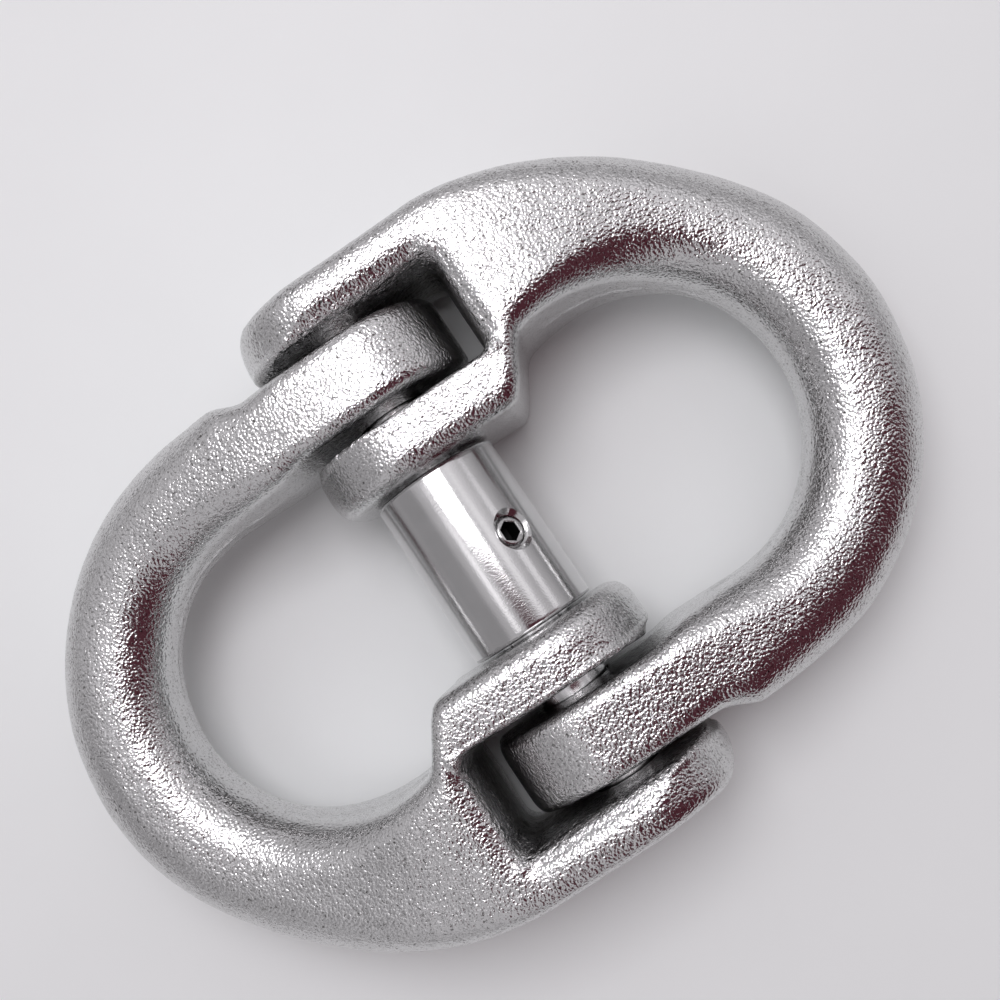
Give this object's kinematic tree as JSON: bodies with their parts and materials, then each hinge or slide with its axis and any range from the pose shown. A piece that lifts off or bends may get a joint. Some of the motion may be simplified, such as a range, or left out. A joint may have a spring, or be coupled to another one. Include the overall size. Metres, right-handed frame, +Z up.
{
  "type": "hinged chain connecting link",
  "caption": "Hinged stainless connecting link for anchor chain: forged half links turn on a load pin held by a sleeve and a set screw.",
  "frame": {"origin": "middle of the load pin, which is also the middle of the whole link when it is pulled straight", "axes": "+X along the pull, from the load pin towards half link A's crown; +Y along the load pin, towards half link A's fork; +Z up, square to the flat of the link"},
  "size_m": [0.1236, 0.0832, 0.027],
  "materials": {
    "forged_steel": "forged, blasted and electropolished, fine orange-peel grain",
    "polished_steel": "ground and polished",
    "turned_steel": "turned satin",
    "screw_steel": "plain stainless, slightly dull"
  },
  "bodies": {
    "link_a": {"half_link_a": "forged_steel"},
    "link_b": {"half_link_b": "forged_steel"},
    "pin_set": {"load_pin": "polished_steel", "locking_sleeve": "turned_steel", "set_screw": "screw_steel"}
  },
  "joints": [
    {"name": "link_hinge", "type": "hinge", "parent": "link_a", "child": "link_b", "pos_m": [0, 0, 0], "axis": [0, 1, 0], "range_deg": [-105, 105]},
    {"name": "pin_turn", "type": "hinge", "parent": "link_a", "child": "pin_set", "pos_m": [0, 0, 0], "axis": [0, 1, 0], "continuous": true}
  ]
}
